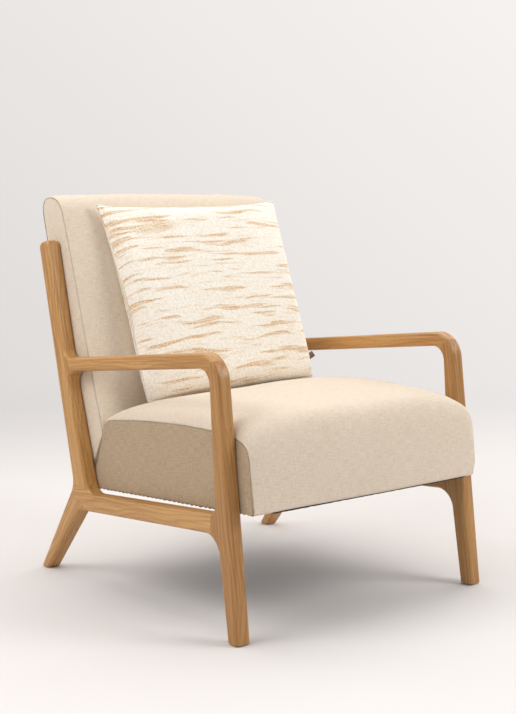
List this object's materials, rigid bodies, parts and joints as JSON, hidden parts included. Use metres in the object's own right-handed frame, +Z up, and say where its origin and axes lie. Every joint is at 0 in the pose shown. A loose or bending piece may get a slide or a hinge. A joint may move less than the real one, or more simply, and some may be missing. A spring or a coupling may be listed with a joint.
{
  "type": "lounge armchair",
  "caption": "Lounge armchair: rounded solid-wood side frames with sloping arms and splayed rear legs carry an upholstered seat and leaning back, with a loose scatter cushion.",
  "frame": {"origin": "on the floor, under the middle of the whole chair's bounding box", "axes": "+Z up from the floor to the top of the back, -Y towards the sitter's knees (the chair faces -Y), +X to the right when looking at the chair from its front"},
  "size_m": [0.68, 0.774, 0.852],
  "materials": {
    "oak": "clear satin lacquer on solid oak",
    "beech_dowel": "plain fluted beech dowel",
    "frame_timber": "rough sawn hidden timber",
    "seat_cloth": "pale oatmeal plain-weave upholstery cloth",
    "panel_cloth": "the same cloth in a darker taupe, for the side panels",
    "dust_cloth": "thin black non-woven cloth",
    "foam": "upholstery foam",
    "wadding": "polyester wadding",
    "spring_felt": "pressed felt",
    "webbing": "jute webbing",
    "spring_steel": "oiled spring wire",
    "zinc_steel": "zinc plated",
    "spacer_plastic": "black moulded tube",
    "glide_felt": "dark moulded glide",
    "cushion_weave": "cream loop-pile cloth with broken golden-brown streaks",
    "cushion_fill": "loose fibre filling in its inner bag",
    "tab_leather": "folded tan leather tab"
  },
  "bodies": {
    "chair": {"arm_left": "oak", "arm_right": "oak", "back_cover_left": "panel_cloth", "back_cover_right": "panel_cloth", "back_cover_wrap": "seat_cloth", "back_foam": "foam", "back_frame_bottom": "frame_timber", "back_frame_left": "frame_timber", "back_frame_right": "frame_timber", "back_frame_top": "frame_timber", "back_wadding_left": "wadding", "back_wadding_rear": "wadding", "back_wadding_right": "wadding", "back_wadding_top": "wadding", "back_webbing": "webbing", "bolt_washers": "zinc_steel", "foot_glides": "glide_felt", "frame_dowels_left": "beech_dowel", "frame_dowels_right": "beech_dowel", "front_leg_left": "oak", "front_leg_right": "oak", "rear_leg_left": "oak", "rear_leg_right": "oak", "rear_post_left": "oak", "rear_post_right": "oak", "seat_corner_blocks": "frame_timber", "seat_cover_left": "panel_cloth", "seat_cover_right": "panel_cloth", "seat_cover_top": "seat_cloth", "seat_dust_cover": "dust_cloth", "seat_foam": "foam", "seat_frame_front": "frame_timber", "seat_frame_left": "frame_timber", "seat_frame_rear": "frame_timber", "seat_frame_right": "frame_timber", "seat_spring_pad": "spring_felt", "seat_springs": "spring_steel", "seat_wadding_front": "wadding", "seat_wadding_left": "wadding", "seat_wadding_rear": "wadding", "seat_wadding_right": "wadding", "side_bolts": "zinc_steel", "side_rail_left": "oak", "side_rail_right": "oak", "spacer_tubes": "spacer_plastic", "spring_clips": "zinc_steel", "threaded_inserts": "zinc_steel", "unit_bolts": "zinc_steel", "unit_nuts": "zinc_steel"},
    "cushion": {"cushion_cover_back": "cushion_weave", "cushion_cover_front": "cushion_weave", "cushion_insert": "cushion_fill", "cushion_tab": "tab_leather"}
  },
  "joints": [
    {"name": "cushion_lift", "type": "slide", "parent": "chair", "child": "cushion", "axis": [0, 0, 1], "range_m": [0, 0.4]}
  ]
}
